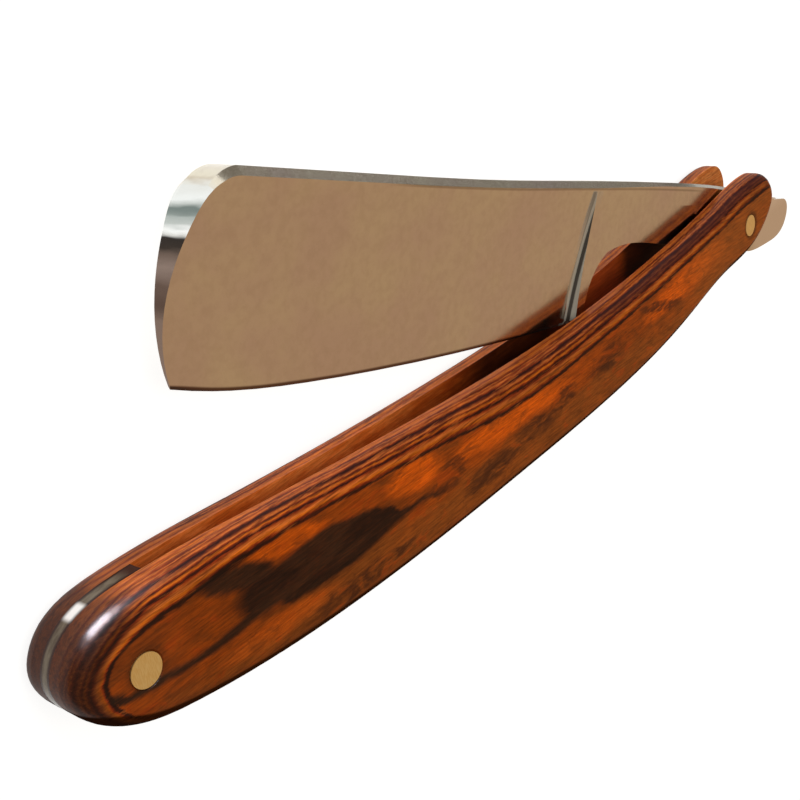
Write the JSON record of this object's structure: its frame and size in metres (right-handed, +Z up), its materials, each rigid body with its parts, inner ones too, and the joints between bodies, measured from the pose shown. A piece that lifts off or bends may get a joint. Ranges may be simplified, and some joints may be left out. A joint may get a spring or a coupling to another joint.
{
  "type": "straight razor",
  "caption": "Folding straight razor with a hollow ground steel blade, square nose, laminated wood scales, brass pins and a light wedge at the butt.",
  "frame": {"origin": "where the pivot pin's axis crosses the outer face of the rear scale, on which the razor lies", "axes": "+Z up, out of the rear scale's outer face; -X from the pivot towards the butt; +Y to the side that the blade opens to"},
  "size_m": [0.1595, 0.0493, 0.0127],
  "materials": {
    "blade_steel": "polished, fine grinding lines",
    "laminated_wood": "resin laminated veneers, gloss",
    "wedge_spacer": "gloss",
    "pin_brass": "satin, sanded flush",
    "washer_brass": "satin"
  },
  "bodies": {
    "handle": {"front_scale": "laminated_wood", "rear_scale": "laminated_wood", "wedge": "wedge_spacer", "pivot_pin": "pin_brass", "wedge_pin": "pin_brass", "front_pivot_washer": "washer_brass", "rear_pivot_washer": "washer_brass"},
    "blade": {"blade": "blade_steel"}
  },
  "joints": [
    {"name": "blade_pivot", "type": "hinge", "parent": "handle", "child": "blade", "pos_m": [-0.0001, 0, 0.0062], "axis": [0.0155, 0, -0.9999], "range_deg": [-11.5, 290]}
  ]
}
